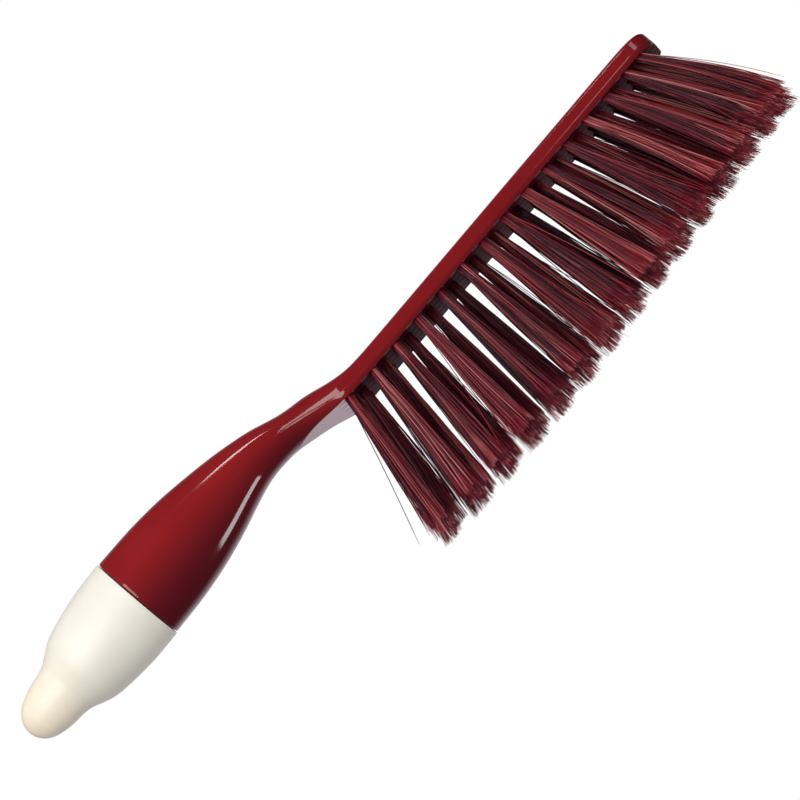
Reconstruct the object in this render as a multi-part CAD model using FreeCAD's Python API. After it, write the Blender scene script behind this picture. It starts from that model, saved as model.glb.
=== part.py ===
import FreeCAD, Part
import math
import os

# Long-handled hand brush, in millimetres.
# Frame: +X runs along the brush to the head's free end, +Z is up and away from the bristles, and Y is
# across. The origin is below the middle of the brush, on the surface that the bristle tips stand on.
# While it is modelled, X = 0 is the head's root, where the neck starts, and Z = 0 is the head's underside.

V = FreeCAD.Vector

# Head plate
head_length = 171.5
head_width = 36.0
head_thickness = 8.0
head_corner_radius = 9.5
crown_rise = 0.3            # what the crown stands above the flat land before the land is cut
land_start = 16.0           # where the flat land on the back begins

# Neck and handle, one moulding with the head
handle_length = 109.3
grip_width = 34.4
grip_height = 38.4
grip_centre = 15.3          # height of the grip's middle at the cap joint
neck_width = 22.4
neck_height = 17.7
neck_centre = 14.7
tongue_rise = 5.0           # how far the flat underside climbs where it runs out under the neck
handle_wall = 2.5
bore_end_share = 0.52       # where the handle's core ends, as a share of the handle's length

# End cap
cap_length = 63.7
cap_step = 0.4              # how far the cap's rim stands proud of the handle
cap_drop = 1.8              # how far the nose sits below the rim's middle
cap_wall = 2.2
spigot_length = 12.0
spigot_clearance = 0.15
spigot_wall = 2.0
bore_relief = 2.0           # straight bore left beyond the spigot

# Tufts: rows run along the head, and columns across it
columns = 15
row_pitch = 7.0
first_column = -1.4
column_pitch = 13.15        # at the neck
pitch_loss = 0.165          # each pitch is this much shorter than the one before
stagger = 0.4               # how far the even rows sit along, as a share of the pitch
last_column_inset = 8.1     # from the last column's centre to the head's free end
bristle_height = 59.5       # from the head's underside to the surface that the tips stand on
near_lean = -14.0           # degrees along X at the neck end
far_lean = 25.0             # degrees along X at the free end
side_lean = 4.0             # degrees outwards in the outer rows
flat_trim_end = 55.0        # from here on, the trimmed tips rise towards the free end
trim_slope = 4.0            # degrees
hole_diameter = 4.0
hole_depth = 5.0
tuft_tip_diameter = 9.0
tuft_clearance = 0.2        # all round in the hole's mouth
tuft_end_gap = 0.1          # between the tuft's fold and the hole's bottom

# Anchor wires, one across the fold of each tuft
anchor_thickness = 0.4
anchor_height = 1.6
anchor_end_gap = 0.1
anchor_slot_clearance = 0.05
anchor_seat = 0.6           # filament left below the anchor

section_points = 24
skin_steps = 2              # sections drawn for each station of the skin
margin = 20.0               # how far trimming solids reach past what they trim


def signed_power(value, power):
    return math.copysign(abs(value) ** power, value)


def section(x, half_width, widest, top, bottom, top_power=2.0, bottom_power=2.0):
    """Closed curve across the brush: two half superellipses that meet at the widest line."""
    points = []
    for index in range(section_points):
        angle = 2.0 * math.pi * index / section_points
        upper = math.sin(angle) >= 0.0
        power = 2.0 / (top_power if upper else bottom_power)
        height = top - widest if upper else widest - bottom
        y = half_width * signed_power(math.cos(angle), power)
        z = widest + height * signed_power(math.sin(angle), power)
        points.append(V(x, y, z))
    curve = Part.BSplineCurve()
    knots = [float(index) for index in range(section_points + 1)]
    curve.interpolate(Points=points, PeriodicFlag=True, Parameters=knots)
    return Part.Wire(curve.toShape())


def oval(x, half_width, half_height, centre):
    return section(x, half_width, centre, centre + half_height, centre - half_height)


def prism(outline, low, high):
    """Solid between two Y values from points in the XZ plane."""
    wire = Part.makePolygon([V(x, low, z) for x, z in outline + outline[:1]])
    return Part.Face(wire).extrude(V(0, high - low, 0))


# ---------------------------------------------------------------- handle sizes

# Share of the handle's length, share of the growth from neck to grip, height of the middle
grip_stations = (
    (0.31, 0.00, neck_centre),
    (0.38, 0.10, neck_centre + 1.2),
    (0.45, 0.27, grip_centre + 1.0),
    (0.59, 0.60, grip_centre + 0.7),
    (0.72, 0.83, grip_centre + 0.4),
    (0.86, 0.97, grip_centre + 0.1),
    (1.00, 1.00, grip_centre),
)


def grip_size(growth):
    half_width = neck_width + growth * (grip_width - neck_width)
    half_height = neck_height + growth * (grip_height - neck_height)
    return half_width / 2.0, half_height / 2.0


def growth_at(share):
    """Straight interpolation between the grip's stations."""
    for before, after in zip(grip_stations, grip_stations[1:]):
        if share <= after[0]:
            part = (share - before[0]) / (after[0] - before[0])
            growth = before[1] + part * (after[1] - before[1])
            return growth, before[2] + part * (after[2] - before[2])
    return grip_stations[-1][1:]


bore_half_width = grip_width / 2.0 - handle_wall
bore_half_height = grip_height / 2.0 - handle_wall
joint_x = -handle_length


# ---------------------------------------------------------------- body

def skin_stations():
    """Key sections: X, half width, height of the widest line, top, bottom and the two squarenesses."""
    half = head_width / 2.0
    neck = neck_width / 2.0
    neck_top = neck_centre + neck_height / 2.0
    neck_bottom = neck_centre - neck_height / 2.0
    crown = head_thickness + crown_rise
    stations = []
    for share, growth, centre in reversed(grip_stations):
        half_width, half_height = grip_size(growth)
        stations.append((-share * handle_length, half_width, centre, centre + half_height,
                         centre - half_height, 2.0, 2.0))
    stations += [
        (-0.247 * handle_length, neck + 0.4, neck_centre - 2.0, neck_top - 3.2, neck_bottom - 0.7, 2.0, 2.0),
        (-0.18 * handle_length, neck + 1.5, neck_centre - 4.5, neck_top - 5.8, neck_bottom - 3.0, 2.0, 2.0),
        (-0.11 * handle_length, neck + 3.2, neck_centre - 7.2, crown + 7.6, -0.2, 2.15, 2.2),
        (-0.044 * handle_length, half - 1.1, head_thickness * 0.55, crown + 4.4, -2.7, 2.4, 2.7),
        (0.0, half + 0.4, head_thickness * 0.4, crown + 2.2, -4.0, 2.7, 4.0),
        (5.0, half + 0.6, head_thickness * 0.35, crown + 0.9, -4.0, 2.9, 4.0),
        (land_start, half + 0.6, head_thickness * 0.3, crown, -4.0, 3.2, 4.0),
        (head_length + margin, half + 0.6, head_thickness * 0.3, crown, -4.0, 3.2, 4.0),
    ]
    return stations


def between(stations, index, part):
    """Section a part of the way from one station to the next, on a Hermite curve through them all."""
    last = len(stations) - 1
    low, high = stations[index], stations[index + 1]
    before = stations[max(index - 1, 0)]
    after = stations[min(index + 2, last)]
    span = high[0] - low[0]
    result = [low[0] + part * span]
    for item in range(1, len(low)):
        slope_low = (high[item] - before[item]) / (high[0] - before[0]) * span
        slope_high = (after[item] - low[item]) / (after[0] - low[0]) * span
        rest = 1.0 - part
        value = (low[item] * (1 + 2 * part) * rest * rest + slope_low * part * rest * rest
                 + high[item] * part * part * (3 - 2 * part) - slope_high * part * part * rest)
        result.append(value)
    return result


def outer_skin():
    """Handle, neck and head as one skin, a little wider and deeper than the head cut from it."""
    stations = skin_stations()
    wires = []
    for index in range(len(stations) - 2):
        for step in range(skin_steps):
            wires.append(section(*between(stations, index, step / skin_steps)))
    wires += [section(*stations[-2]), section(*stations[-1])]
    return Part.makeLoft(wires, True, True)


def underside_trim():
    """Everything below the flat underside and the tongue that climbs from it under the neck."""
    curve = Part.BSplineCurve()
    climb = ((0.02, 0.0), (-0.035, 0.13), (-0.11, 0.56), (-0.18, 0.87), (-0.275, 1.0))
    points = [V(share * handle_length, 0, rise * tongue_rise) for share, rise in climb]
    curve.interpolate(Points=points, InitialTangent=V(-1, 0, 0), FinalTangent=V(-1, 0, 0))
    start, end = points[0], points[-1]
    corners = [end, V(end.x, 0, -margin), V(head_length + 2 * margin, 0, -margin),
               V(head_length + 2 * margin, 0, 0), start]
    wire = Part.Wire([curve.toShape()] + Part.makePolygon(corners).Edges)
    face = Part.Face(wire)
    face.translate(V(0, -head_width, 0))
    return face.extrude(V(0, 2 * head_width, 0))


def land_trim():
    """Everything above the flat land along the head's back."""
    far = head_length + 2 * margin
    outline = [(far, head_thickness), (land_start, head_thickness),
               (land_start - 10.0, head_thickness + 1.8), (land_start - 10.0, head_thickness + margin),
               (far, head_thickness + margin)]
    return prism(outline, -head_width, head_width)


def plan_trim():
    """Everything outside the head's plan, a strip with two round corners at its free end."""
    half = head_width / 2.0
    radius = head_corner_radius
    start = -0.06 * handle_length
    low = -margin
    high = head_thickness + margin
    block = Part.makeBox(head_length + 2 * margin - start, 2 * head_width, high - low,
                         V(start, -head_width, low))
    strip = Part.makeBox(head_length - start, head_width, high - low, V(start, -half, low))
    corners = [edge for edge in strip.Edges
               if edge.BoundBox.ZLength > margin and edge.BoundBox.XMin > head_length - 1.0]
    return block.cut(strip.makeFillet(radius, corners))


def handle_bore():
    """Core of the handle: a straight mouth for the cap's spigot, then a taper that keeps the wall."""
    mouth = joint_x + spigot_length + bore_relief
    wires = [oval(joint_x - margin, bore_half_width, bore_half_height, grip_centre),
             oval(mouth, bore_half_width, bore_half_height, grip_centre)]
    mouth_share = -mouth / handle_length
    steps = 5
    for step in range(1, steps + 1):
        share = mouth_share + (bore_end_share - mouth_share) * step / steps
        growth, centre = growth_at(share)
        half_width, half_height = grip_size(growth)
        wires.append(oval(-share * handle_length, half_width - handle_wall, half_height - handle_wall,
                          centre))
    return Part.makeLoft(wires, True, True)


# ---------------------------------------------------------------- tufts

def column_x(index):
    if index == columns - 1:
        return head_length - last_column_inset
    return free_column_x(index)


def free_column_x(index):
    return first_column + column_pitch * index - pitch_loss * index * index / 2.0


def tuft_roots(odd):
    """Columns of (x, y, share along the head) for the odd rows or for the staggered even rows."""
    rows = (-2, 0, 2) if odd else (-1, 1)
    result = []
    for index in range(columns if odd else columns - 1):
        x = column_x(index)
        if not odd:
            x = free_column_x(index) + stagger * (free_column_x(index + 1) - free_column_x(index))
        share = index / (columns - 1.0)
        result.append([(x, row * row_pitch, share, row) for row in rows])
    return result


def tuft_placement(x, y, share, row):
    """Where a hole is drilled, and its tilt: the tufts fan out along the head and a little across it."""
    along = math.tan(math.radians(near_lean + (far_lean - near_lean) * share))
    across = math.tan(math.radians(side_lean * row / 2.0))
    return FreeCAD.Placement(V(x, y, 0), FreeCAD.Rotation(V(0, 0, -1), V(along, across, -1)))


def hole(placement):
    radius = hole_diameter / 2.0
    shape = Part.makeCylinder(radius, hole_depth + radius, V(0, 0, -radius), V(0, 0, 1))
    shape.Placement = placement
    return shape


def anchor(placement, growth=0.0):
    """Flat wire across the hole; growth gives the slot that it needs in the tuft."""
    length = hole_diameter - 2 * anchor_end_gap + 4 * growth
    thick = anchor_thickness + 2 * growth
    high = anchor_height + 2 * growth
    top = hole_depth - tuft_end_gap - anchor_seat + growth
    shape = Part.makeBox(thick, length, high, V(-thick / 2.0, -length / 2.0, top - high))
    shape.Placement = placement
    return shape


def tip_trim():
    """Everything below the trimmed tips: flat, then rising towards the free end."""
    far = head_length + 5 * margin
    rise = (far - flat_trim_end) * math.tan(math.radians(trim_slope))
    floor = -bristle_height
    outline = [(-handle_length, floor), (flat_trim_end, floor), (far, floor + rise),
               (far, floor - margin), (-handle_length, floor - margin)]
    return prism(outline, -2 * head_width, 2 * head_width)


def tuft(placement, trim):
    """A bundle that widens evenly from its fold to its tip, slotted over its anchor."""
    mouth_radius = hole_diameter / 2.0 - tuft_clearance
    down = placement.Rotation.multVec(V(0, 0, -1))
    free_length = bristle_height / -down.z
    widening = (tuft_tip_diameter / 2.0 - mouth_radius) / free_length
    start = hole_depth - tuft_end_gap
    length = free_length + tuft_tip_diameter
    shape = Part.makeCone(mouth_radius - widening * start, mouth_radius + widening * length,
                          start + length, V(0, 0, start), V(0, 0, -1))
    shape.Placement = placement
    return shape.cut([trim, anchor(placement, anchor_slot_clearance)])


# ---------------------------------------------------------------- end cap

# Share of the cap's length from the rim, share of the rim's radius
cap_outline = ((0.00, 0.995), (0.17, 0.99), (0.39, 0.92), (0.52, 0.83), (0.60, 0.71), (0.685, 0.595),
               (0.79, 0.548), (0.88, 0.478), (0.95, 0.36), (0.985, 0.21), (1.00, 0.08))


def cap_solid(start, inset):
    """Ovals along the cap, each a share of the rim, with the wall taken off all round."""
    length = cap_length - inset
    sizes = [between(cap_outline, index, step / skin_steps)
             for index in range(len(cap_outline) - 1) for step in range(skin_steps)]
    sizes.append(cap_outline[-1])
    wires = []
    for share, size in sizes:
        if wires and share * length <= start:
            continue
        distance = max(share * length, start)
        half_width = max(size * (grip_width / 2.0 + cap_step) - inset, size * inset)
        half_height = max(size * (grip_height / 2.0 + cap_step) - inset, size * inset)
        wires.append(oval(joint_x - distance, half_width, half_height, grip_centre - cap_drop * share))
    return Part.makeLoft(wires, True, True)


def spigot(inset, back, front):
    """Oval plug on the joint's centre, from back behind the joint to front inside the handle."""
    base = oval(joint_x - back, bore_half_width - inset, bore_half_height - inset, grip_centre)
    return Part.Face(base).extrude(V(back + front, 0, 0))


# ---------------------------------------------------------------- assembly

def build():
    odd_columns = [[tuft_placement(*root) for root in column] for column in tuft_roots(True)]
    even_columns = [[tuft_placement(*root) for root in column] for column in tuft_roots(False)]
    all_placements = [place for column in odd_columns + even_columns for place in column]

    body = outer_skin().cut([underside_trim(), land_trim(), plan_trim()])
    body = body.cut([handle_bore()] + [hole(place) for place in all_placements])

    cap = cap_solid(0.0, 0.0).fuse(spigot(spigot_clearance, cap_wall, spigot_length))
    cap = cap.cut([cap_solid(cap_wall, cap_wall),
                   spigot(spigot_clearance + spigot_wall, 2 * cap_wall, spigot_length + margin)])

    nodes = {"brush_body": body, "end_cap": cap}
    trim = tip_trim()
    for label, group in (("odd", odd_columns), ("even", even_columns)):
        for number, column in enumerate(group, start=1):
            nodes[f"tufts_{label}_rows_column_{number:02d}"] = Part.makeCompound(
                [tuft(place, trim) for place in column])
    for label, group in (("odd", odd_columns), ("even", even_columns)):
        for row in range(len(group[0])):
            row_number = 2 * row + (1 if label == "odd" else 2)
            nodes[f"anchor_wires_row_{row_number}"] = Part.makeCompound(
                [anchor(column[row]) for column in group])
    return nodes


def centred(nodes):
    """Moves every node so that the tips stand on Z = 0 and the overall box is centred on the origin."""
    low = joint_x - cap_length
    last_tufts = nodes[f"tufts_odd_rows_column_{columns:02d}"]
    high = max(last_tufts.optimalBoundingBox().XMax, head_length)
    shift = V(-(low + high) / 2.0, 0, bristle_height)
    for shape in nodes.values():
        shape.translate(shift)
    print("shift", round(shift.x, 3), round(shift.z, 3), "overall length", round(high - low, 2))


def main():
    os.makedirs("parts", exist_ok=True)
    nodes = build()
    centred(nodes)
    for name, shape in nodes.items():
        print(name, len(shape.Solids), shape.isValid(), round(shape.Volume, 1))
        shape.exportStep(f"parts/{name}.step")


main()
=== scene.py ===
"""Hand brush: glossy red moulded body, cream plug cap and five rows of fanned filament tufts."""
import math

import bpy
import numpy as np
from mathutils import Matrix, Vector


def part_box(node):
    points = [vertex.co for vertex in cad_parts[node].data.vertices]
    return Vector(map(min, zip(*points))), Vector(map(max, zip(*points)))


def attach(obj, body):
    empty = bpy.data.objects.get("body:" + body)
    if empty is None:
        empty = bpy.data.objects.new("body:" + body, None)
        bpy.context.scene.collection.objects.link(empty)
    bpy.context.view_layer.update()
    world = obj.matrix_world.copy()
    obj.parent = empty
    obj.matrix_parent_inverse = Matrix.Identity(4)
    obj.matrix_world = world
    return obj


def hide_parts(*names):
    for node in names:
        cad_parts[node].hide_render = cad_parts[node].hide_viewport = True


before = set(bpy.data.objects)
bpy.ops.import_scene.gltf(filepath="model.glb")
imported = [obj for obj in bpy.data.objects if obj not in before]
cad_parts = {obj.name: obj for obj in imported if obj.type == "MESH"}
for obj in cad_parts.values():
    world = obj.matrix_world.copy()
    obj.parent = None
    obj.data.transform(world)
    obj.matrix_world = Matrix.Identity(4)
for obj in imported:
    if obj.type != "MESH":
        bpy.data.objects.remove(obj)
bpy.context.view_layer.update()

MM = 0.001
random = np.random.default_rng(727)

# ------------------------------------------------------------------ sizes, in millimetres
# X runs to the head's free end, Z = 0 is the surface under the tips, Y is across.

body_low, body_high = (np.array(corner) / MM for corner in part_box("brush_body"))
JOINT_X = body_low[0]                     # where the cap meets the handle
HEAD_END = body_high[0]
HEAD_HALF = body_high[1]
UNDERSIDE = 59.5                          # height of the head's flat underside
HEAD_LENGTH = 171.5
HEAD_ROOT = HEAD_END - HEAD_LENGTH        # where the neck starts
HANDLE = HEAD_ROOT - JOINT_X
CAP_LENGTH = 63.7                         # from the joint to the tip of the nose
CORNER_RADIUS = 9.5                       # of the head's far corners, seen from above
LAND = 8.0                                # thickness of the head at its flat back
GRIP_CENTRE = 15.3                        # height of the grip's middle above the underside
GRIP_HALF_WIDTH, GRIP_HALF_HEIGHT = 17.0, 19.0
BAND = 1.9                                # height of the thin proud band along the head's lower edge
BAND_STEP = 0.45                          # how far the band stands out from the side above it
GAP = 0.35                                # shadow gap between cap and handle
RIM_RADIUS = 0.7                          # rounding of the handle's rear rim
UNDERCUT = 1.3                            # how far the head's side draws in below the band
SIDE_ROUNDING = 0.22                      # softness of the edge where the side meets the head's plan
LAND_ROUNDING = 0.25                      # softness of the edge round the flat back
END_ROOM, END_POWER = 0.6, 3.2            # length and squareness of the head's end, seen from the side
RIDGE_HEIGHT, RIDGE_WIDTH = 0.07, 0.16    # fine ridge along the parting line
GROOVE_DEPTH = 0.16                       # shallow groove along each row of tufts
HEAD_BLEND = (-9.0, 2.0)                  # from the root: where the neck's section turns into the head's
LAND_BLEND = (2.0, 16.0)                  # where the top turns into the flat back
GROOVE_BLEND = (-8.0, -2.0)               # where the grooves begin
GROOVE_MARGIN = (0.4, 2.4)                # distance from the side over which they fade
BAND_EDGE = (-0.05, 0.35)                 # height of the band's upper edge about the parting line
UNDERCUT_POWER = 1.6
DRILLED_FACE_AND_SHADE_BLEND = (-5.0, 0.0)               # where the face that holds the tufts begins: matt, and darker as painted shade
PAINTED_SHADE_BLEND = (-34.0, -8.0)              # where the painted shade on the grip's underside ends
PAINTED_SHADE_HEIGHTS = (-6.0, 15.0)             # below the grip's middle: no painted shade, full painted shade
LINE_REACH = 0.05                         # how far round a ring the close columns by the parting line reach
SIDE_PLACES = (12, 20, 20)                # columns of a side below, at and above the parting line
UNDER_PLACES = 71                         # columns across the underside


# ------------------------------------------------------------------ helpers

def linear(code):
    """sRGB hex colour to linear RGBA."""
    channels = [int(code[place:place + 2], 16) / 255.0 for place in (1, 3, 5)]
    return [c / 12.92 if c <= 0.04045 else ((c + 0.055) / 1.055) ** 2.4 for c in channels] + [1.0]


def add(tree, kind, settings=None, links=None):
    """Adds a node: settings are properties or input values, and links join inputs to other outputs."""
    node = tree.nodes.new(kind)
    for name, value in (settings or {}).items():
        if isinstance(name, str) and hasattr(node, name):
            setattr(node, name, value)
        else:
            node.inputs[name].default_value = value
    for name, output in (links or {}).items():
        tree.links.new(output, node.inputs[name])
    return node


def new_material(name):
    """An empty material and its node tree."""
    material = bpy.data.materials.new(name)
    material.use_nodes = True
    material.node_tree.nodes.clear()
    return material, material.node_tree


def smooth_between(table, x):
    """Monotone cubic through rows of (x, values...), read at many x: a Hermite curve with limited slopes."""
    table = np.array(sorted(table), float)
    knots, values = table[:, 0], table[:, 1:]
    widths = np.diff(knots)[:, None]
    slopes = np.diff(values, axis=0) / widths
    inner = np.zeros_like(values)
    before, after = slopes[:-1], slopes[1:]
    same = before * after > 0
    safe_before = np.where(same, before, 1.0)
    safe_after = np.where(same, after, 1.0)
    one = 2 * widths[1:] + widths[:-1]
    two = widths[1:] + 2 * widths[:-1]
    inner[1:-1] = np.where(same, (one + two) / (one / safe_before + two / safe_after), 0.0)
    inner[0], inner[-1] = slopes[0], slopes[-1]
    place = np.clip(np.searchsorted(knots, x, side="right") - 1, 0, len(knots) - 2)
    width = widths[place]
    part = ((x - knots[place])[:, None] / width).clip(0.0, 1.0)
    rest = 1.0 - part
    return (values[place] * (1 + 2 * part) * rest ** 2
            + inner[place] * width * part * rest ** 2
            + values[place + 1] * (3 - 2 * part) * part ** 2
            - inner[place + 1] * width * rest * part ** 2)


def eased(table, x, reach=4.0):
    """smooth_between averaged over a short stretch on each side, which takes the kinks out."""
    return np.mean([smooth_between(table, x + shift) for shift in np.linspace(-reach, reach, 5)], axis=0)


def soft_limit(value, limit, rounding):
    """Smallest of value and limit with a rounded meeting, on both signs of the value."""
    room = (limit - np.abs(value)) / rounding
    inside = limit - rounding * np.logaddexp(0.0, np.clip(room, -60.0, 60.0))
    return np.sign(value) * inside


def ramp(value, start, end):
    """Rises from 0 at start to 1 at end as 3t^2 - 2t^3, level at both."""
    part = np.clip((value - start) / (end - start), 0.0, 1.0)
    return part * part * (3.0 - 2.0 * part)


def grid_object(name, points, sharp_degrees=38.0):
    """Closed surface from rings of points: rings x places x 3, in millimetres, with a fan at each end."""
    rings, places = points.shape[:2]
    first = points[0].mean(axis=0)
    last = points[-1].mean(axis=0)
    vertices = np.vstack([points.reshape(-1, 3), first, last]) * MM
    ring, place = np.meshgrid(np.arange(rings - 1), np.arange(places), indexing="ij")
    following = (place + 1) % places
    quads = np.stack([ring * places + place, ring * places + following,
                      (ring + 1) * places + following, (ring + 1) * places + place], axis=-1)
    around = np.arange(places)
    onward = (around + 1) % places
    near = np.stack([np.full(places, rings * places), onward, around], axis=-1)
    base = (rings - 1) * places
    far = np.stack([np.full(places, rings * places + 1), base + around, base + onward], axis=-1)
    mesh = bpy.data.meshes.new(name)
    faces = quads.reshape(-1, 4).tolist() + near.tolist() + far.tolist()
    mesh.from_pydata(vertices.tolist(), [], faces)
    mesh.polygons.foreach_set("use_smooth", np.ones(len(faces), bool))
    mesh.update()
    mesh.set_sharp_from_angle(angle=math.radians(sharp_degrees))
    piece = bpy.data.objects.new(name, mesh)
    bpy.context.scene.collection.objects.link(piece)
    return piece


def dress(piece, node, material):
    """Gives a piece its material and its body, and hides the CAD node that it takes the place of."""
    piece.data.materials.append(material)
    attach(piece, "root")
    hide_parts(node)


# ------------------------------------------------------------------ red body

# Distance from the head's root, half width, widest line, top, bottom, top and bottom squareness
BODY_STATIONS = (
    (-109.3, 17.2, 15.3, 34.5, -3.9, 2.0, 2.0),
    (-94.0, 17.0, 15.45, 34.3, -3.4, 2.0, 2.0),
    (-78.7, 16.1, 15.7, 33.2, -1.8, 2.0, 2.0),
    (-64.5, 14.6, 16.0, 31.0, 0.9, 2.0, 2.0),
    (-49.2, 12.6, 16.2, 27.9, 4.7, 2.0, 2.0),
    (-41.5, 11.7, 15.9, 25.8, 6.0, 2.0, 2.0),
    (-34.0, 11.2, 14.7, 23.5, 5.9, 2.0, 2.0),
    (-27.0, 11.5, 12.7, 20.3, 5.1, 2.0, 2.0),
    (-19.7, 12.7, 10.0, 17.8, 2.8, 2.0, 2.0),
    (-12.0, 14.5, 7.4, 16.0, 0.2, 2.15, 2.2),
    (-4.8, 17.0, 4.6, 12.7, -2.7, 2.4, 2.7),
    (0.0, 18.4, 3.2, 10.7, -4.0, 2.7, 4.0),
    (5.0, 18.6, 2.6, 9.2, -4.0, 2.9, 4.0),
    (16.0, 18.6, 2.4, 8.35, -4.0, 3.2, 4.0),
    (40.0, 18.6, 2.4, 8.3, -4.0, 3.2, 4.0),
    (200.0, 18.6, 2.4, 8.3, -4.0, 3.2, 4.0),
)
# Distance from the head's root, height of the flat underside and the tongue that climbs from it
TONGUE = ((-60.0, -9.0), (-31.0, 4.0), (-27.0, 4.95), (-19.7, 4.35), (-12.0, 2.8), (-3.8, 0.7), (3.0, 0.0),
          (200.0, 0.0))
# Distance from the head's root, height of the mould parting line
PARTING = ((-109.3, 12.4), (-70.0, 13.2), (-45.0, 13.6), (-30.0, 13.0), (-20.0, 10.2), (-12.0, 7.0),
           (-4.8, 4.0), (2.0, 2.2), (10.0, BAND), (200.0, BAND))


def body_rings():
    """Places along the body: close where it bends and at the rounded ends."""
    turn = np.sin(np.linspace(0.0, math.pi / 2.0, 22))
    head_flat = HEAD_LENGTH - CORNER_RADIUS
    edge = 1.0 - np.cos(np.linspace(0.0, math.pi / 2.0, 6))
    return np.concatenate([
        -HANDLE + GAP + RIM_RADIUS * edge,
        np.arange(-HANDLE + 2.0, -45.0, 1.6),
        np.arange(-45.0, 20.0, 0.5),
        np.arange(20.0, head_flat - 1.0, 2.0),
        head_flat + CORNER_RADIUS * turn,
    ])


def side_angles(widest, top, bottom, top_power, bottom_power, lowest, parting):
    """Angles round each ring, from its lowest right point over the top to its lowest left one, set close
    together on both sides of the parting line so that the line runs true."""
    above = parting >= widest
    height = np.where(above, top - widest, widest - bottom)
    power = np.where(above, top_power, bottom_power)
    line = np.clip(np.abs(parting - widest) / height, 0.0, 1.0) ** (power / 2.0)
    line = np.where(above, 1.0, -1.0) * np.arcsin(line)
    crown = np.full_like(line, math.pi / 2.0)
    stops = (lowest, line - LINE_REACH, line + LINE_REACH, crown)
    last = len(SIDE_PLACES) - 1
    parts = [np.linspace(stops[part], stops[part + 1], count, endpoint=part == last)
             for part, count in enumerate(SIDE_PLACES)]
    right = np.concatenate(parts).T
    return np.hstack([right, math.pi - right[:, -2::-1]])


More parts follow.
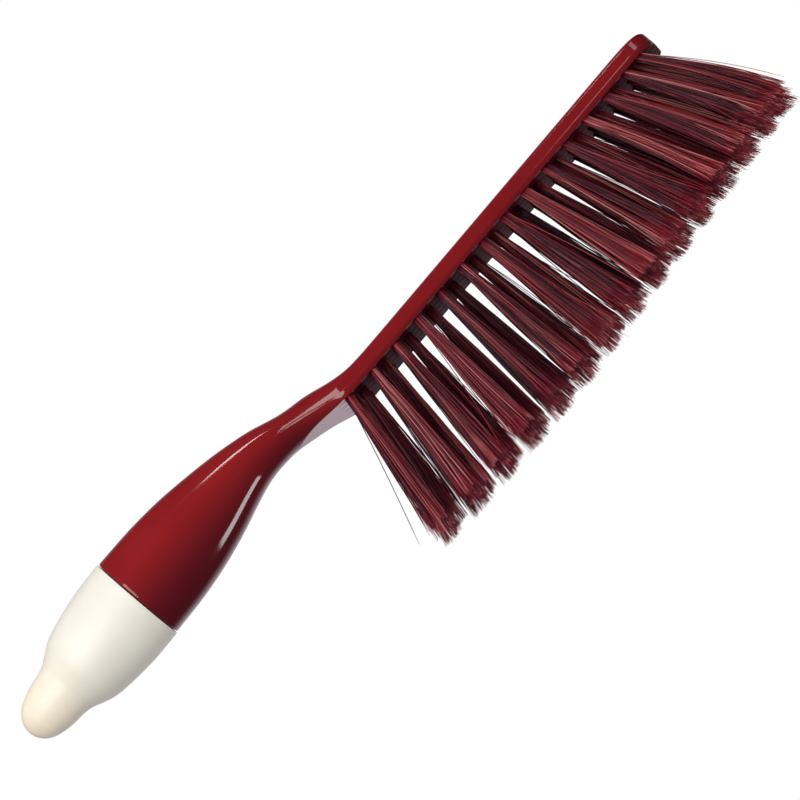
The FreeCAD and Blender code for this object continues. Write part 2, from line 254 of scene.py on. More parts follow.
def make_body():
    """Rings along X. Each ring is a half superellipse above its widest line and one below, cut flat along
    the underside, with its sides limited to the head's plan and its top to the flat back. One attribute
    marks the face that holds the tufts, drawn matt and darker, the darker colour being painted shade
    between the tufts; another is painted shade, a darker red that rises towards the grip's underside."""
    x = body_rings()
    width, widest, top, bottom, top_power, bottom_power = eased(BODY_STATIONS, x).T
    underside = eased(TONGUE, x, 2.0)[:, 0]
    parting = eased(PARTING, x)[:, 0]
    into_corner = np.clip(x - HEAD_LENGTH + CORNER_RADIUS, 0.0, None)
    plan = HEAD_HALF - CORNER_RADIUS + np.sqrt(np.clip(CORNER_RADIUS ** 2 - into_corner ** 2, 0.0, None))
    end_part = np.clip((x - HEAD_LENGTH + HEAD_HALF) / (HEAD_HALF + END_ROOM), 0.0, 1.0)
    top = widest + (top - widest) * (1.0 - end_part ** END_POWER) ** (1.0 / END_POWER)

    cut = np.clip((widest - underside) / (widest - bottom), 0.0, 0.9999)
    lowest = -np.arcsin(cut ** (bottom_power / 2.0))
    angle = side_angles(widest, top, bottom, top_power, bottom_power, lowest, parting)
    upper = np.sin(angle) >= 0.0
    power = 2.0 / np.where(upper, top_power[:, None], bottom_power[:, None])
    height = np.where(upper, (top - widest)[:, None], (widest - bottom)[:, None])
    y = width[:, None] * np.sign(np.cos(angle)) * np.abs(np.cos(angle)) ** power
    z = widest[:, None] + height * np.sign(np.sin(angle)) * np.abs(np.sin(angle)) ** power

    on_head = ramp(x, *HEAD_BLEND)[:, None]
    line = parting[:, None]
    above = ramp(z, line + BAND_EDGE[0], line + BAND_EDGE[1])
    under = np.clip(1.0 - z / line, 0.0, 1.0) ** UNDERCUT_POWER * (1.0 - above)
    step = (BAND_STEP * above + UNDERCUT * under) * on_head
    limited = soft_limit(y, plan[:, None] - step, SIDE_ROUNDING)
    y = y + (limited - y) * on_head
    ridge = RIDGE_HEIGHT * np.exp(-((z - line) / RIDGE_WIDTH) ** 2) * (1.0 - on_head)
    y = y + ridge * np.sign(y)
    room = np.clip((LAND - z) / LAND_ROUNDING, -60.0, 60.0)
    flat = LAND - LAND_ROUNDING * np.logaddexp(0.0, room)
    on_land = ramp(x, *LAND_BLEND)[:, None]
    z = np.where(upper, z + (flat - z) * on_land, z)

    left_y, right_y = y[:, -1], y[:, 0]
    left_z = z[:, -1]
    inward = np.linspace(0.0, 1.0, UNDER_PLACES + 2)[1:-1]
    under_y = left_y[:, None] + (right_y - left_y)[:, None] * inward
    groove = GROOVE_DEPTH * (0.5 + 0.5 * np.cos(2.0 * math.pi * under_y / ROW_PITCH))
    groove *= ramp(x, *GROOVE_BLEND)[:, None] * ramp(plan[:, None] - np.abs(under_y), *GROOVE_MARGIN)
    under_z = left_z[:, None] + groove
    ring_y = np.hstack([y, under_y])
    ring_z = np.hstack([z, under_z])

    # Rounded rear rim of the handle
    rear = np.clip((x + HANDLE - GAP) / RIM_RADIUS, 0.0, 1.0)
    shrink = RIM_RADIUS * (1.0 - np.sqrt(1.0 - (1.0 - rear) ** 2))
    ring_y = ring_y * (1.0 - shrink / GRIP_HALF_WIDTH)[:, None]
    ring_z = GRIP_CENTRE + (ring_z - GRIP_CENTRE) * (1.0 - shrink / GRIP_HALF_HEIGHT)[:, None]
    points = np.stack([np.repeat(x[:, None], ring_y.shape[1], axis=1), ring_y, ring_z], axis=-1)

    # End walls: rings that close in on the middle
    middle = points[-1].mean(axis=0)
    tail = [middle + (points[-1] - middle) * share for share in (0.96, 0.85, 0.6, 0.3)]
    start = points[0].mean(axis=0)
    lead = [start + (points[0] - start) * share for share in (0.5, 0.9)]
    points = np.concatenate([np.array(lead), points, np.array(tail)])
    points = points[:, ::-1] + np.array([HEAD_ROOT, 0.0, UNDERSIDE])
    piece = grid_object("body_skin", points)
    # The face that holds the tufts: matt, and drawn darker as painted shade between the tufts
    drilled_face_and_shade = np.zeros(points.shape[:2])
    drilled_face_and_shade[:, :UNDER_PLACES] = ramp(points[:, 0, 0] - HEAD_ROOT, *DRILLED_FACE_AND_SHADE_BLEND)[:, None]
    drilled_face_and_shade[-len(tail):] = 0.0
    # Painted shade: the grip is drawn a darker red along its underside
    on_grip = 1.0 - ramp(points[..., 0] - HEAD_ROOT, *PAINTED_SHADE_BLEND)
    below = (GRIP_CENTRE + UNDERSIDE - points[..., 2]) * on_grip
    for label, values in (("drilled_face_and_shade", drilled_face_and_shade), ("painted_grip_shade", ramp(below, *PAINTED_SHADE_HEIGHTS))):
        attribute = piece.data.attributes.new(label, "FLOAT", "POINT")
        attribute.data.foreach_set("value", np.append(values.ravel(), (0.0, 0.0)).astype(np.float32))
    return piece


# ------------------------------------------------------------------ cream cap

# Share of the cap's length from its rim, share of the rim's size
CAP_STATIONS = ((0.0, 1.0), (0.17, 0.992), (0.28, 0.965), (0.39, 0.92), (0.46, 0.882), (0.52, 0.83),
                (0.60, 0.71), (0.66, 0.615), (0.72, 0.573), (0.79, 0.548), (0.85, 0.507), (0.90, 0.45))
CAP_HALF_WIDTH, CAP_HALF_HEIGHT = 17.6, 19.55    # of the cap's rim
RIM_SHARE, RIM_INSET = 0.012, 0.015       # rounding of the rim: share of the length, share of the size
NOSE_TILT = 0.42                          # angle on the nose's ellipse where it takes over from the curve
NOSE_DROP = 1.8                           # how much lower the nose sits than the rim's middle
CREASE_HEIGHT, CREASE_WIDTH, CREASE_PLACE = 0.006, 0.03, -0.02
CAP_PLACES = 96                           # columns round the cap


def make_cap():
    """Ovals along the cap: a rounded rim, a smooth curve through its stations, then part of an ellipse for
    the nose, which leaves the last station along its slope."""
    nose_start, nose_size = CAP_STATIONS[-1]
    edge = np.linspace(0.0, math.pi / 2.0, 6)[:-1]
    body = np.linspace(RIM_SHARE, nose_start, 90)[:-1]
    turn = np.linspace(0.0, 1.0, 22)[:-1]
    nose_angle = NOSE_TILT + (math.pi / 2.0 - NOSE_TILT) * turn
    nose_radius = nose_size / math.cos(NOSE_TILT)
    nose_length = (1.0 - nose_start) / (1.0 - math.sin(NOSE_TILT))
    nose = nose_start + nose_length * (np.sin(nose_angle) - math.sin(NOSE_TILT))
    shares = np.concatenate([RIM_SHARE * (1.0 - np.cos(edge)), body, nose])
    sizes = np.concatenate([1.0 - RIM_INSET * (1.0 - np.sin(edge)), smooth_between(CAP_STATIONS, body)[:, 0],
                            nose_radius * np.cos(nose_angle)])
    angle = np.linspace(0.0, 2.0 * math.pi, CAP_PLACES, endpoint=False)
    # A faint crease along each side, where the two mould halves met
    crease = 1.0 + CREASE_HEIGHT * np.exp(-((np.sin(angle) - CREASE_PLACE) / CREASE_WIDTH) ** 2)
    x = JOINT_X - shares * CAP_LENGTH
    y = sizes[:, None] * CAP_HALF_WIDTH * np.cos(angle) * crease
    centre = UNDERSIDE + GRIP_CENTRE - NOSE_DROP * shares
    z = centre[:, None] + sizes[:, None] * CAP_HALF_HEIGHT * np.sin(angle)
    points = np.stack([np.repeat(x[:, None], CAP_PLACES, axis=1), y, z], axis=-1)
    middle = points[0].mean(axis=0)
    lead = np.array([middle + (points[0] - middle) * share for share in (0.5, 0.9, 0.97)])
    return grid_object("cap_skin", np.concatenate([lead, points]))


# ------------------------------------------------------------------ tufts

COLUMNS = 15                              # in the odd rows; the even rows have one less
ROW_PITCH = 7.0                           # half the distance between two odd rows
FIRST_COLUMN = -1.4                       # from the head's root
COLUMN_PITCH = 13.15                      # at the neck
PITCH_LOSS = 0.165                        # how much each pitch is less than the one before
STAGGER = 0.4                             # share of the pitch by which the even rows are set off
LAST_INSET = 8.1                          # from the head's far end to the last column
NEAR_LEAN, FAR_LEAN, SIDE_LEAN = -14.0, 25.0, 4.0    # degrees
FLAT_TRIM_END = 55.0                      # where the trimmed tips begin to climb
TRIM_SLOPE = math.tan(math.radians(4.0))
NEAR_RISE = 1.6                           # how much shorter the bundles by the neck are
NEAR_RISE_START, NEAR_RISE_LENGTH = 10.0, 30.0
FLOOR_GAP = 0.25                          # the least height of a filament's middle line
TIP_SPREAD, TIP_TRIM = 0.9, 0.3           # unevenness of the cut, and its least distance from Z = 0
FILAMENTS = 118                           # in a bundle
FILAMENT_SIDES = 4
FILAMENT_STEPS = 9
FILAMENT_RADIUS = 0.19
TAPER, TIP_TAPER = 0.82, 0.45             # size at the last step, and once more at the cut
BUNDLE_RADIUS = 1.82                      # in the hole
HOLE_START = 3.0                          # how deep in the hole the filaments start
LOCKS = 10                                # a bundle opens out in this many locks
LOCK_INNER = 0.05                         # keeps the locks off the very middle
LOCK_CHOICE = 0.5                         # how freely a filament joins a lock that isn't the nearest
LOCK_PULL = (0.2, 0.65)                   # how far a filament is drawn to the middle of its lock
CROSSING = 0.16                           # spread of the tips about their places, as a share of the reach
OPEN_ALONG, OPEN_ACROSS = (4.3, 5.8), 4.4    # reach of an opened bundle at the tips
OPEN_POWER = 1.15                         # above 1 the bundle stays close for longer
BEND, BACK_BEND = 0.62, 0.35              # bend of the leaning bundles, and its share on those that lean back
SWAY = 0.5                                # bow of a filament halfway down
STRAY_SHARE = 0.025                       # share of filaments that stand out from the rest
STRAY_REACH, STRAY_ACROSS, STRAY_POWER = (1.5, 3.2), 0.35, 1.6
LOCK_TONE, FILAMENT_TONE = 0.22, 0.27     # spread of the colour between locks and between filaments
ODD_TONE, SHADED_EVEN_TONE = 0.48, 0.37          # middle of the colour in the odd rows and in the even ones; the even rows sit lower, a painted shade on the bundles that stand between and behind the odd ones
WIDEST_TIP, TIP_ROUNDING = 22.9, 0.4      # how far from the middle the filaments may reach
LOOSE_FILAMENT = 9.0                      # how far one filament stands out behind the first bundle


def free_column(index):
    """Distance of a column from the head's root: each pitch is a little less than the one before."""
    return FIRST_COLUMN + COLUMN_PITCH * index - PITCH_LOSS * index * index / 2.0


def column_place(index, odd):
    """The same distance, with the even rows set off by a share of the pitch and the last column kept clear
    of the head's end."""
    if not odd:
        return free_column(index) + STAGGER * (free_column(index + 1) - free_column(index))
    if index == COLUMNS - 1:
        return HEAD_LENGTH - LAST_INSET
    return free_column(index)


def filament_paths(root_x, root_y, lean, side, loose):
    """Centre lines of one bundle: each leaves the hole with the bundle's lean, opens out from the middle
    in a few loose locks, and bends down a little at the free end. The last filament hangs clear by the
    loose distance. Gives an array of filaments x steps x 3, and the tone of each filament's lock."""
    count = FILAMENTS
    turn = np.arange(count) * math.pi * (3.0 - math.sqrt(5.0))
    reach = np.sqrt((np.arange(count) + 0.5) / count)
    root = np.stack([reach * np.cos(turn), reach * np.sin(turn)], axis=-1)

    lock_turn = random.uniform(0.0, 2.0 * math.pi, LOCKS)
    lock_reach = np.sqrt(random.uniform(LOCK_INNER, 1.0, LOCKS))
    lock_place = np.stack([lock_reach * np.cos(lock_turn), lock_reach * np.sin(lock_turn)], axis=-1)
    distance = ((root[:, None] - lock_place) ** 2).sum(-1)
    nearest = np.argmin(distance + random.uniform(0, LOCK_CHOICE, (count, LOCKS)), axis=1)
    pull = random.uniform(*LOCK_PULL, (count, 1))
    opened = root * (1.0 - pull) + lock_place[nearest] * pull + random.normal(0.0, CROSSING, (count, 2))
    tip_reach = np.array([random.uniform(*OPEN_ALONG), OPEN_ACROSS])

    # Share of the drop from the underside to Z = 0, a little below 0 inside the hole
    steps = np.linspace(0.0, 1.0, FILAMENT_STEPS)[None, :]
    drop_share = steps * (1.0 + HOLE_START / UNDERSIDE) - HOLE_START / UNDERSIDE
    grow = np.clip(drop_share, 0.0, 1.0)
    tip_x = root_x + UNDERSIDE * math.tan(lean)
    near = ramp(NEAR_RISE_START - tip_x, 0.0, NEAR_RISE_LENGTH)
    rise = max(tip_x - FLAT_TRIM_END, 0.0) * TRIM_SLOPE + NEAR_RISE * near
    length = UNDERSIDE - rise - np.abs(random.normal(0.0, TIP_SPREAD, count)) - TIP_TRIM
    depth = drop_share * length[:, None]

    sway = random.normal(0.0, SWAY, (count, 2))
    is_stray = random.uniform(0, 1, count) > 1.0 - STRAY_SHARE
    stray = np.where(is_stray, random.uniform(*STRAY_REACH, count), 0.0)
    stray_side = random.normal(0.0, 1.0, (count, 2)) * np.array([1.0, STRAY_ACROSS])
    down = grow[..., None]
    offset = root[:, None, :] * BUNDLE_RADIUS * (1.0 - down)
    offset = offset + opened[:, None, :] * tip_reach * down ** OPEN_POWER
    offset = offset + sway[:, None, :] * np.sin(math.pi * down)
    offset = offset + (stray[:, None] * stray_side)[:, None, :] * down ** STRAY_POWER
    offset[-1, :, 0] -= loose * grow[0]

    bend = BEND * math.sin(lean) * (1.0 if lean > 0 else BACK_BEND)
    forward = np.where(drop_share < 0.0, drop_share, grow + bend * grow * (1.0 - grow))
    x = root_x + forward * math.tan(lean) * length[:, None] + offset[..., 0]
    y = root_y + drop_share * UNDERSIDE * math.tan(side) + offset[..., 1]
    z = np.clip(-depth, -UNDERSIDE + FLOOR_GAP, None)
    paths = np.stack([x, soft_limit(y, WIDEST_TIP, TIP_ROUNDING), z], axis=-1)
    return paths, random.normal(0.0, LOCK_TONE, LOCKS)[nearest]


def tube_faces(count, steps, sides):
    """Quads of many tubes at once, with a small cap at each tip."""
    start = (np.arange(count) * steps * sides)[:, None, None]
    step = (np.arange(steps - 1) * sides)[None, :, None]
    side = np.arange(sides)[None, None, :]
    onward = (side + 1) % sides
    quads = np.stack(np.broadcast_arrays(start + step + side, start + step + onward,
                                         start + step + sides + onward, start + step + sides + side), axis=-1)
    ends = (np.arange(count) * steps * sides)[:, None] + (steps - 1) * sides + np.arange(sides)
    heads = (np.arange(count) * steps * sides)[:, None] + np.arange(sides)[::-1]
    return np.concatenate([quads.reshape(-1, 4), ends.reshape(-1, 4), heads.reshape(-1, 4)])


def make_tufts(name, bundles):
    """Filaments of several bundles as thin square tubes that taper at the tip. The attribute tone is a
    filament's place in the mix of colours, and along runs from 0 in the hole to 1 at the tip."""
    drawn = [filament_paths(*bundle[:5]) for bundle in bundles]
    paths = np.concatenate([path for path, lock_tone in drawn])
    bundle_tone = np.concatenate([lock_tone + bundle[5] for (path, lock_tone), bundle in zip(drawn, bundles)])
    count = len(paths)
    around = np.arange(FILAMENT_SIDES) * 2 * math.pi / FILAMENT_SIDES
    angle = random.uniform(0, 2 * math.pi, count)[:, None] + around
    radius = FILAMENT_RADIUS * np.linspace(1.0, TAPER, FILAMENT_STEPS)
    radius[-1] *= TIP_TAPER
    ring = np.stack([np.cos(angle), np.sin(angle), np.zeros_like(angle)], axis=-1)
    points = paths[:, :, None, :] + radius[None, :, None, None] * ring[:, None, :, :]
    points = points + np.array([HEAD_ROOT, 0.0, UNDERSIDE])
    vertices = points.reshape(-1, 3) * MM
    faces = tube_faces(count, FILAMENT_STEPS, FILAMENT_SIDES)[:, ::-1]
    mesh = bpy.data.meshes.new(name)
    mesh.from_pydata(vertices.tolist(), [], faces.tolist())
    mesh.polygons.foreach_set("use_smooth", np.ones(len(faces), bool))
    each = FILAMENT_STEPS * FILAMENT_SIDES
    tone = np.clip(bundle_tone + random.normal(0.0, FILAMENT_TONE, count), 0.0, 1.0)
    along = np.tile(np.repeat(np.linspace(0.0, 1.0, FILAMENT_STEPS), FILAMENT_SIDES), count)
    for label, values in (("tone", np.repeat(tone, each)), ("along", along)):
        attribute = mesh.attributes.new(label, "FLOAT", "POINT")
        attribute.data.foreach_set("value", values.astype(np.float32))
    mesh.update()
    piece = bpy.data.objects.new(name, mesh)
    bpy.context.scene.collection.objects.link(piece)
    return piece


def make_all_tufts(material):
    """A piece for each column of the three odd rows and of the two even rows. The lean grows evenly from
    the neck to the free end, and the outer rows lean outwards."""
    # The even rows take the lower tone, as painted shade
    for odd, label, rows, tone in ((True, "odd", (-2, 0, 2), ODD_TONE), (False, "even", (-1, 1), SHADED_EVEN_TONE)):
        for index in range(COLUMNS if odd else COLUMNS - 1):
            share = index / (COLUMNS - 1.0)
            lean = math.radians(NEAR_LEAN + (FAR_LEAN - NEAR_LEAN) * share)
            bundles = [(column_place(index, odd), row * ROW_PITCH, lean,
                        math.radians(SIDE_LEAN * row / 2.0),
                        LOOSE_FILAMENT if (index, row) == (0, -2) else 0.0, tone) for row in rows]
            node = f"tufts_{label}_rows_column_{index + 1:02d}"
            piece = make_tufts(f"filaments_{label}_{index + 1:02d}", bundles)
            dress(piece, node, material)


# ------------------------------------------------------------------ materials

# Places of the sockets that share a name, on the Mix, Math and Mix Shader nodes
FACTOR, NUMBER_A, NUMBER_B, COLOUR_A, COLOUR_B, COLOUR_OUT = 0, 2, 3, 6, 7, 2
MATH_A, MATH_B = 0, 1
SHADER_A, SHADER_B = 1, 2


def red_plastic():
    """Polypropylene, moulded and glossy: a deep red under a clear-looking skin that is slightly uneven."""
    material, tree = new_material("moulded_gloss_polypropylene_red")
    place = add(tree, "ShaderNodeTexCoord").outputs["Object"]
    # Clouds of pigment about 30 mm across
    cloud = add(tree, "ShaderNodeTexNoise", {"Scale": 33.0, "Detail": 3.0, "Roughness": 0.5},
                {"Vector": place})
    pigment = add(tree, "ShaderNodeMix",
                  {"data_type": "RGBA", COLOUR_A: linear("#76151B"), COLOUR_B: linear("#8B1E20")},
                  {FACTOR: cloud.outputs["Fac"]})
    # Painted shade: a darker red towards the grip's underside
    painted_grip_shade = add(tree, "ShaderNodeAttribute", {"attribute_name": "painted_grip_shade"}).outputs["Fac"]
    pigment_with_painted_shade = add(tree, "ShaderNodeMix", {"data_type": "RGBA", COLOUR_B: linear("#560D17")},
                 {FACTOR: painted_grip_shade, COLOUR_A: pigment.outputs[COLOUR_OUT]})
    # Orange-peel waves about 5 mm across and a few micrometres deep
    wave = add(tree, "ShaderNodeTexNoise", {"Scale": 200.0, "Detail": 1.0}, {"Vector": place})
    bump = add(tree, "ShaderNodeBump", {"Strength": 0.05, "Distance": 0.00006},
               {"Height": wave.outputs["Fac"]})
    # Handling marks make the gloss a little uneven, in patches about 12 mm across
    patch = add(tree, "ShaderNodeTexNoise", {"Scale": 80.0, "Detail": 4.0}, {"Vector": place})
    rough = add(tree, "ShaderNodeMapRange", {"To Min": 0.05, "To Max": 0.12}, {"Value": patch.outputs["Fac"]})
    # The face between the tufts is left matt by the drilling tool, and is drawn darker as painted shade
    # between the tufts
    drilled_face_and_shade = add(tree, "ShaderNodeAttribute", {"attribute_name": "drilled_face_and_shade"}).outputs["Fac"]
    colour = add(tree, "ShaderNodeMix", {"data_type": "RGBA", COLOUR_B: linear("#561522")},
                 {FACTOR: drilled_face_and_shade, COLOUR_A: pigment_with_painted_shade.outputs[COLOUR_OUT]})
    matt = add(tree, "ShaderNodeMix", {"data_type": "FLOAT", NUMBER_B: 0.6},
               {FACTOR: drilled_face_and_shade, NUMBER_A: rough.outputs["Result"]})
    gloss = add(tree, "ShaderNodeMapRange", {"To Min": 0.5, "To Max": 0.06}, {"Value": drilled_face_and_shade})
    shader = add(tree, "ShaderNodeBsdfPrincipled", {"IOR": 1.49},
                 {"Base Color": colour.outputs[COLOUR_OUT], "Normal": bump.outputs["Normal"],
                  "Roughness": matt.outputs["Result"], "Specular IOR Level": gloss.outputs["Result"]})
    add(tree, "ShaderNodeOutputMaterial", None, {"Surface": shader.outputs["BSDF"]})
    return material


def cream_plastic():
    """Polyethylene, moulded with a satin skin: cream, a little warmer towards the nose, faintly clouded."""
    material, tree = new_material("moulded_satin_polyethylene_cream")
    place = add(tree, "ShaderNodeTexCoord").outputs["Object"]
    axis = add(tree, "ShaderNodeSeparateXYZ", None, {"Vector": place})
    warm = add(tree, "ShaderNodeMapRange",
               {"From Min": (JOINT_X - CAP_LENGTH) * MM, "From Max": (JOINT_X - 28.0) * MM,
                "To Min": 1.0, "To Max": 0.0}, {"Value": axis.outputs["X"]})
    base = add(tree, "ShaderNodeMix",
               {"data_type": "RGBA", COLOUR_A: linear("#E4E0D5"), COLOUR_B: linear("#EEDFC8")},
               {FACTOR: warm.outputs["Result"]})
    # Soft clouding about 15 mm across
    cloud = add(tree, "ShaderNodeTexNoise", {"Scale": 66.0, "Detail": 4.0}, {"Vector": place})
    shade = add(tree, "ShaderNodeMapRange", {"To Min": 0.94, "To Max": 1.03}, {"Value": cloud.outputs["Fac"]})
    tinted = add(tree, "ShaderNodeMix", {"data_type": "RGBA", "blend_type": "MULTIPLY", FACTOR: 1.0},
                 {COLOUR_A: base.outputs[COLOUR_OUT], COLOUR_B: shade.outputs["Result"]})
    # Fine mould grain, 0.8 mm, drawn coarser than the real one so that it shows
    grain = add(tree, "ShaderNodeTexNoise", {"Scale": 1250.0, "Detail": 2.0}, {"Vector": place})
    bump = add(tree, "ShaderNodeBump", {"Strength": 0.15, "Distance": 0.00005},
               {"Height": grain.outputs["Fac"]})
    shader = add(tree, "ShaderNodeBsdfPrincipled",
                 {"IOR": 1.5, "Roughness": 0.38, "Subsurface Weight": 0.15, "Subsurface Scale": 0.003,
                  "Subsurface Radius": (1.0, 0.8, 0.5)},
                 {"Base Color": tinted.outputs[COLOUR_OUT], "Normal": bump.outputs["Normal"]})
    add(tree, "ShaderNodeOutputMaterial", None, {"Surface": shader.outputs["BSDF"]})
    return material


def filament_plastic():
    """Extruded polypropylene filament: wine red and dark maroon mixed in each bundle, with a drawn gloss."""
    material, tree = new_material("extruded_polypropylene_filament")
    tone = add(tree, "ShaderNodeAttribute", {"attribute_name": "tone"}).outputs["Fac"]
    along = add(tree, "ShaderNodeAttribute", {"attribute_name": "along"}).outputs["Fac"]
    colour = add(tree, "ShaderNodeValToRGB", None, {"Fac": tone})
    stops = colour.color_ramp
    # The tones run from dark maroon to wine red; the palest pink stop at the top is painted highlight,
    # streaks that stand in for gloss on single filaments
    stops.elements[0].color = linear("#300B1A")
    stops.elements[1].color = linear("#BC7678")
    for position, code in ((0.35, "#5C1225"), (0.62, "#87222E"), (0.86, "#A23A42")):
        stops.elements.new(position).color = linear(code)
    # Painted light: the last fifth of each filament is drawn up to 1.7 times paler, as if the cut tips caught
    # the light
    tip = add(tree, "ShaderNodeMapRange", {"From Min": 0.80, "From Max": 1.0, "To Min": 1.0, "To Max": 1.7},
              {"Value": along})
    with_painted_tip_light = add(tree, "ShaderNodeMix", {"data_type": "RGBA", "blend_type": "MULTIPLY", FACTOR: 1.0},
                 {COLOUR_A: colour.outputs["Color"], COLOUR_B: tip.outputs["Result"]})
    # Bundles near the free end are drawn a slightly warmer red
    place = add(tree, "ShaderNodeTexCoord").outputs["Object"]
    axis = add(tree, "ShaderNodeSeparateXYZ", None, {"Vector": place})
    warm = add(tree, "ShaderNodeMapRange", {"From Min": 0.03, "From Max": 0.17, "To Min": 0.0, "To Max": 0.4},
               {"Value": axis.outputs["X"]})
    warmer_far_bundles = add(tree, "ShaderNodeMix",
                {"data_type": "RGBA", "blend_type": "MULTIPLY", COLOUR_B: (1.35, 1.08, 0.85, 1.0)},
                {FACTOR: warm.outputs["Result"], COLOUR_A: with_painted_tip_light.outputs[COLOUR_OUT]})
    shader = add(tree, "ShaderNodeBsdfPrincipled",
                 {"IOR": 1.49, "Roughness": 0.36, "Specular IOR Level": 0.4},
                 {"Base Color": warmer_far_bundles.outputs[COLOUR_OUT]})
    add(tree, "ShaderNodeOutputMaterial", None, {"Surface": shader.outputs["BSDF"]})
    return material


def wire_steel():
    """Flat drawn steel wire: grey metal with a fine grain, a quarter of a millimetre across."""
    material, tree = new_material("drawn_flat_steel_wire")
    place = add(tree, "ShaderNodeTexCoord").outputs["Object"]
    grain = add(tree, "ShaderNodeTexNoise", {"Scale": 4000.0, "Detail": 1.0}, {"Vector": place})
    rough = add(tree, "ShaderNodeMapRange", {"To Min": 0.25, "To Max": 0.45}, {"Value": grain.outputs["Fac"]})
    shader = add(tree, "ShaderNodeBsdfPrincipled", {"Base Color": linear("#B4B2AE"), "Metallic": 1.0},
                 {"Roughness": rough.outputs["Result"]})
    add(tree, "ShaderNodeOutputMaterial", None, {"Surface": shader.outputs["BSDF"]})
    return material


# ------------------------------------------------------------------ stage, light and camera

def make_floor():
    """Pale square at Z = 0 that the camera sees from above, and that everything else passes through."""
    mesh = bpy.data.meshes.new("floor")
    size = 6.0
    corners = [(-size, -size, 0), (size, -size, 0), (size, size, 0), (-size, size, 0)]
    mesh.from_pydata(corners, [], [(0, 1, 2, 3)])
    floor = bpy.data.objects.new("floor", mesh)
    bpy.context.scene.collection.objects.link(floor)
    material, tree = new_material("matt_white_studio_floor")
    path = add(tree, "ShaderNodeLightPath")
    face = add(tree, "ShaderNodeNewGeometry")
    shown = add(tree, "ShaderNodeMath", {"operation": "SUBTRACT", "use_clamp": True},
                {MATH_A: path.outputs["Is Camera Ray"], MATH_B: face.outputs["Backfacing"]})
    clear = add(tree, "ShaderNodeBsdfTransparent")
    matt = add(tree, "ShaderNodeBsdfDiffuse", {"Color": linear("#F4F4F3")})
    mix = add(tree, "ShaderNodeMixShader", None,
              {"Fac": shown.outputs["Value"], SHADER_A: clear.outputs["BSDF"],
               SHADER_B: matt.outputs["BSDF"]})
    add(tree, "ShaderNodeOutputMaterial", None, {"Surface": mix.outputs["Shader"]})
    mesh.materials.append(material)


def make_world():
    """White to the eye. Gloss mirrors a bright backdrop behind and a dim room on the near side, and the
    plain light on the object fades from above to below."""
    world = bpy.data.worlds.new("studio")
    bpy.context.scene.world = world
    world.use_nodes = True
    tree = world.node_tree
    tree.nodes.clear()
    path = add(tree, "ShaderNodeLightPath")
    seen = add(tree, "ShaderNodeMath", {"operation": "MAXIMUM"},
               {MATH_A: path.outputs["Is Camera Ray"], MATH_B: path.outputs["Is Transmission Ray"]})
    direction = add(tree, "ShaderNodeTexCoord").outputs["Generated"]
    axis = add(tree, "ShaderNodeSeparateXYZ", None, {"Vector": direction})
    backdrop = add(tree, "ShaderNodeMapRange",
                   {"interpolation_type": "SMOOTHSTEP", "From Min": 0.55, "From Max": 0.97,
                    "To Min": 0.07, "To Max": 1.0}, {"Value": axis.outputs["Y"]})
    lower = add(tree, "ShaderNodeMapRange",
                {"interpolation_type": "SMOOTHSTEP", "From Min": -0.15, "From Max": 0.15,
                 "To Min": 1.2, "To Max": 0.4}, {"Value": axis.outputs["Z"]})
    mirrored = add(tree, "ShaderNodeMath", {"operation": "MULTIPLY"},
                   {MATH_A: backdrop.outputs["Result"], MATH_B: lower.outputs["Result"]})
    soft = add(tree, "ShaderNodeMapRange",
               {"interpolation_type": "SMOOTHSTEP", "From Min": -0.6, "From Max": 0.7,
                "To Min": 0.31, "To Max": 0.48}, {"Value": axis.outputs["Z"]})
    lighting = add(tree, "ShaderNodeMix", {"data_type": "FLOAT"},
                 {FACTOR: path.outputs["Is Glossy Ray"], NUMBER_A: soft.outputs["Result"],
                  NUMBER_B: mirrored.outputs["Value"]})
    level = add(tree, "ShaderNodeMix", {"data_type": "FLOAT", NUMBER_B: 1.0},
                {FACTOR: seen.outputs["Value"], NUMBER_A: lighting.outputs["Result"]})
    tint = add(tree, "ShaderNodeMix",
               {"data_type": "RGBA", COLOUR_A: linear("#FFFFFF"), COLOUR_B: linear("#EFE0EA")},
               {FACTOR: path.outputs["Is Glossy Ray"]})
    light = add(tree, "ShaderNodeBackground", None,
                {"Color": tint.outputs[COLOUR_OUT], "Strength": level.outputs["Result"]})
    add(tree, "ShaderNodeOutputWorld", None, {"Surface": light.outputs["Background"]})


def softbox(name, position, target, width, height, power, mirrored):
    """A rectangular lamp, in metres and watts, that faces its target and isn't seen itself. The gloss shows
    it only where mirrored is true."""
    data = bpy.data.lights.new(name, "AREA")
    data.shape = "RECTANGLE"
    data.size = width
    data.size_y = height
    data.energy = power
    lamp = bpy.data.objects.new(name, data)
    lamp.location = position
    lamp.visible_camera = False
    lamp.visible_glossy = mirrored
    lamp.rotation_euler = (Vector(target) - Vector(position)).to_track_quat("-Z", "Y").to_euler()
    bpy.context.scene.collection.objects.link(lamp)


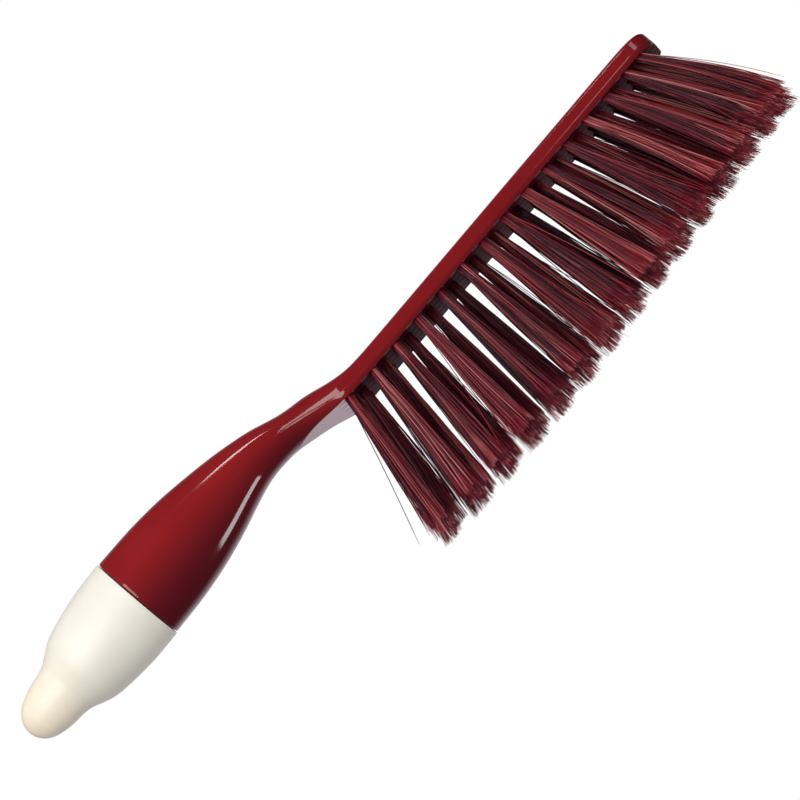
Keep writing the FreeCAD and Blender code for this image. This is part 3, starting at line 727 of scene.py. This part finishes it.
def make_lights():
    """Broad soft light from above, in front and behind, and four panels that the gloss mirrors."""
    middle = (0.0, 0.0, 0.06)
    grip = (-0.04, 0.0, 0.07)
    head_end = (0.17, 0.0, 0.065)
    softbox("key_softbox", (-0.28, -0.55, 0.62), middle, 0.4, 0.3, 1.3, False)
    softbox("fill_softbox", (0.45, -0.95, 0.05), middle, 0.5, 0.5, 0.9, False)
    softbox("back_softbox", (0.2, 0.9, 0.9), middle, 0.6, 0.4, 3.0, False)
    softbox("neck_panel", (-0.51, -0.98, 0.32), grip, 0.62, 0.80, 8.0, True)
    softbox("top_panel", (0.19, -0.48, 0.93), grip, 0.06, 0.22, 0.6, True)
    softbox("low_panel", (0.26, 0.03, -0.88), grip, 0.26, 0.26, 1.7, True)
    softbox("end_panel", (0.91, -0.82, 0.30), head_end, 0.4, 0.35, 1.2, True)


def make_camera():
    """Long lens, square to the brush's length and a little below it, rolled so that the brush climbs to the
    right."""
    below = math.radians(12.5)
    roll = math.radians(49.7)
    view_width = 0.2963                   # metres across the view at the brush
    lens = 600.0
    sensor = 36.0
    target = Vector((0.00086, 0.0, 0.04755))
    back = Vector((0.0, -math.cos(below), -math.sin(below)))
    along = Vector((1.0, 0.0, 0.0))
    upward = Vector((0.0, -math.sin(below), math.cos(below)))
    right = math.cos(roll) * along - math.sin(roll) * upward
    up = math.sin(roll) * along + math.cos(roll) * upward
    data = bpy.data.cameras.new("camera")
    data.lens = lens
    data.sensor_width = sensor
    data.clip_start = 0.1
    data.clip_end = 50.0
    camera = bpy.data.objects.new("camera", data)
    place = target + back * (view_width * lens / sensor)
    turn = Matrix((right, up, back)).transposed().to_4x4()
    camera.matrix_world = Matrix.Translation(place) @ turn
    bpy.context.scene.collection.objects.link(camera)
    bpy.context.scene.camera = camera


# ------------------------------------------------------------------ assembly

make_camera()
make_world()
make_lights()
make_floor()
bpy.context.scene.view_settings.view_transform = "Standard"

dress(make_body(), "brush_body", red_plastic())
dress(make_cap(), "end_cap", cream_plastic())
make_all_tufts(filament_plastic())
steel = wire_steel()
for node_name, node_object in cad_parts.items():
    if node_name.startswith("anchor_wires"):
        node_object.data.materials.clear()
        node_object.data.materials.append(steel)
